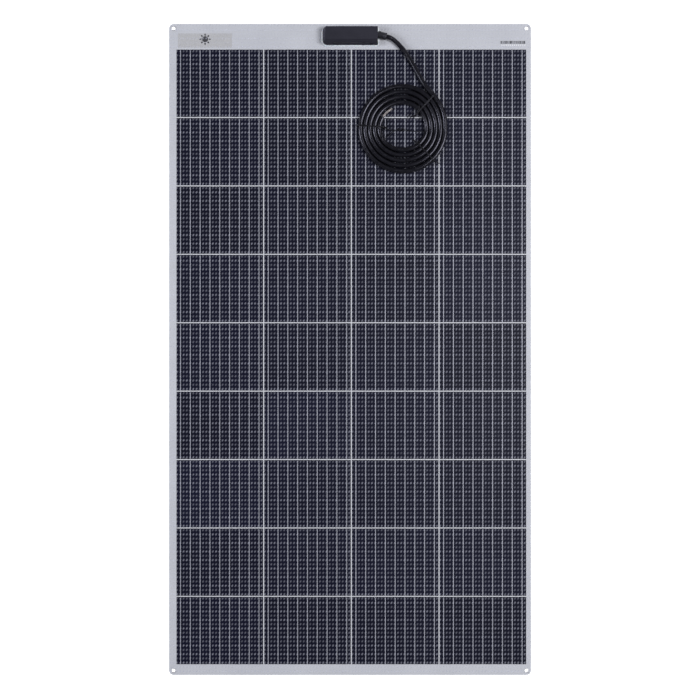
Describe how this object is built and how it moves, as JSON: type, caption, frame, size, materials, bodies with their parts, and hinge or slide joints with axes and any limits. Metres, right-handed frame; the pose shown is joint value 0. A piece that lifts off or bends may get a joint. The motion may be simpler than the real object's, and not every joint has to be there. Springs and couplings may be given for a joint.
{
  "type": "flexible solar sheet",
  "caption": "Thin flexible solar sheet with cells in a grid, a flat junction box at one end and its cable coiled on the front.",
  "frame": {"origin": "centre of the sheet's underside", "axes": "+Y along the sheet towards the junction box, +X across it, +Z out of the front face"},
  "size_m": [0.695, 1.25, 0.0192],
  "materials": {
    "laminate_back": "satin white backing",
    "solar_cell": "dark blue antireflective",
    "front_film": "clear embossed film",
    "eyelet_metal": "satin",
    "box_plastic": "fine moulded grain",
    "tinned_copper": "tinned",
    "diode_body": "moulded",
    "boot_rubber": "matt",
    "cable_jacket": "soft sheen",
    "tie_wire": "matt"
  },
  "bodies": {
    "head": {"laminate_rows_1_2": "laminate_back", "cell_r1_c1": "solar_cell", "cell_r1_c2": "solar_cell", "cell_r1_c3": "solar_cell", "cell_r1_c4": "solar_cell", "cell_r2_c1": "solar_cell", "cell_r2_c2": "solar_cell", "cell_r2_c3": "solar_cell", "cell_r2_c4": "solar_cell", "front_film": "front_film", "eyelet_top_left": "eyelet_metal", "eyelet_top_right": "eyelet_metal", "junction_box_base": "box_plastic", "terminal_plus": "tinned_copper", "terminal_minus": "tinned_copper", "bypass_diode": "diode_body", "strain_relief": "boot_rubber", "cable_lead": "cable_jacket", "cable_coil": "cable_jacket", "tie_left": "tie_wire", "tie_upper_right": "tie_wire", "tie_lower_right": "tie_wire"},
    "box_lid": {"junction_box_lid": "box_plastic"},
    "row_3": {"laminate_row_3": "laminate_back", "cell_r3_c1": "solar_cell", "cell_r3_c2": "solar_cell", "cell_r3_c3": "solar_cell", "cell_r3_c4": "solar_cell"},
    "row_4": {"laminate_row_4": "laminate_back", "cell_r4_c1": "solar_cell", "cell_r4_c2": "solar_cell", "cell_r4_c3": "solar_cell", "cell_r4_c4": "solar_cell"},
    "row_5": {"laminate_row_5": "laminate_back", "cell_r5_c1": "solar_cell", "cell_r5_c2": "solar_cell", "cell_r5_c3": "solar_cell", "cell_r5_c4": "solar_cell"},
    "row_6": {"laminate_row_6": "laminate_back", "cell_r6_c1": "solar_cell", "cell_r6_c2": "solar_cell", "cell_r6_c3": "solar_cell", "cell_r6_c4": "solar_cell"},
    "row_7": {"laminate_row_7": "laminate_back", "cell_r7_c1": "solar_cell", "cell_r7_c2": "solar_cell", "cell_r7_c3": "solar_cell", "cell_r7_c4": "solar_cell"},
    "row_8": {"laminate_row_8": "laminate_back", "cell_r8_c1": "solar_cell", "cell_r8_c2": "solar_cell", "cell_r8_c3": "solar_cell", "cell_r8_c4": "solar_cell"},
    "row_9": {"laminate_row_9": "laminate_back", "cell_r9_c1": "solar_cell", "cell_r9_c2": "solar_cell", "cell_r9_c3": "solar_cell", "cell_r9_c4": "solar_cell", "eyelet_bottom_left": "eyelet_metal", "eyelet_bottom_right": "eyelet_metal"}
  },
  "joints": [
    {"name": "lid_lift", "type": "slide", "parent": "head", "child": "box_lid", "axis": [0, 0, 1], "range_m": [0, 0.025]},
    {"name": "bend_2_3", "type": "hinge", "parent": "head", "child": "row_3", "pos_m": [0, 0.3138, 0.0013], "axis": [-1, 0, 0], "range_deg": [0, 4.29], "stiffness_Nm_per_rad": 10, "deforming": ["front_film"]},
    {"name": "bend_3_4", "type": "hinge", "parent": "row_3", "child": "row_4", "pos_m": [0, 0.1825, 0.0013], "axis": [-1, 0, 0], "range_deg": [0, 4.29], "stiffness_Nm_per_rad": 10, "deforming": ["front_film"]},
    {"name": "bend_4_5", "type": "hinge", "parent": "row_4", "child": "row_5", "pos_m": [0, 0.0512, 0.0013], "axis": [-1, 0, 0], "range_deg": [0, 4.29], "stiffness_Nm_per_rad": 10, "deforming": ["front_film"]},
    {"name": "bend_5_6", "type": "hinge", "parent": "row_5", "child": "row_6", "pos_m": [0, -0.0801, 0.0013], "axis": [-1, 0, 0], "range_deg": [0, 4.29], "stiffness_Nm_per_rad": 10, "deforming": ["front_film"]},
    {"name": "bend_6_7", "type": "hinge", "parent": "row_6", "child": "row_7", "pos_m": [0, -0.2114, 0.0013], "axis": [-1, 0, 0], "range_deg": [0, 4.29], "stiffness_Nm_per_rad": 10, "deforming": ["front_film"]},
    {"name": "bend_7_8", "type": "hinge", "parent": "row_7", "child": "row_8", "pos_m": [0, -0.3427, 0.0013], "axis": [-1, 0, 0], "range_deg": [0, 4.29], "stiffness_Nm_per_rad": 10, "deforming": ["front_film"]},
    {"name": "bend_8_9", "type": "hinge", "parent": "row_8", "child": "row_9", "pos_m": [0, -0.474, 0.0013], "axis": [-1, 0, 0], "range_deg": [0, 4.29], "stiffness_Nm_per_rad": 10, "deforming": ["front_film"]}
  ],
  "couplings": [
    {"joint": "bend_3_4", "follows": "bend_2_3", "ratio": 1},
    {"joint": "bend_4_5", "follows": "bend_2_3", "ratio": 1},
    {"joint": "bend_5_6", "follows": "bend_2_3", "ratio": 1},
    {"joint": "bend_6_7", "follows": "bend_2_3", "ratio": 1},
    {"joint": "bend_7_8", "follows": "bend_2_3", "ratio": 1},
    {"joint": "bend_8_9", "follows": "bend_2_3", "ratio": 1}
  ]
}
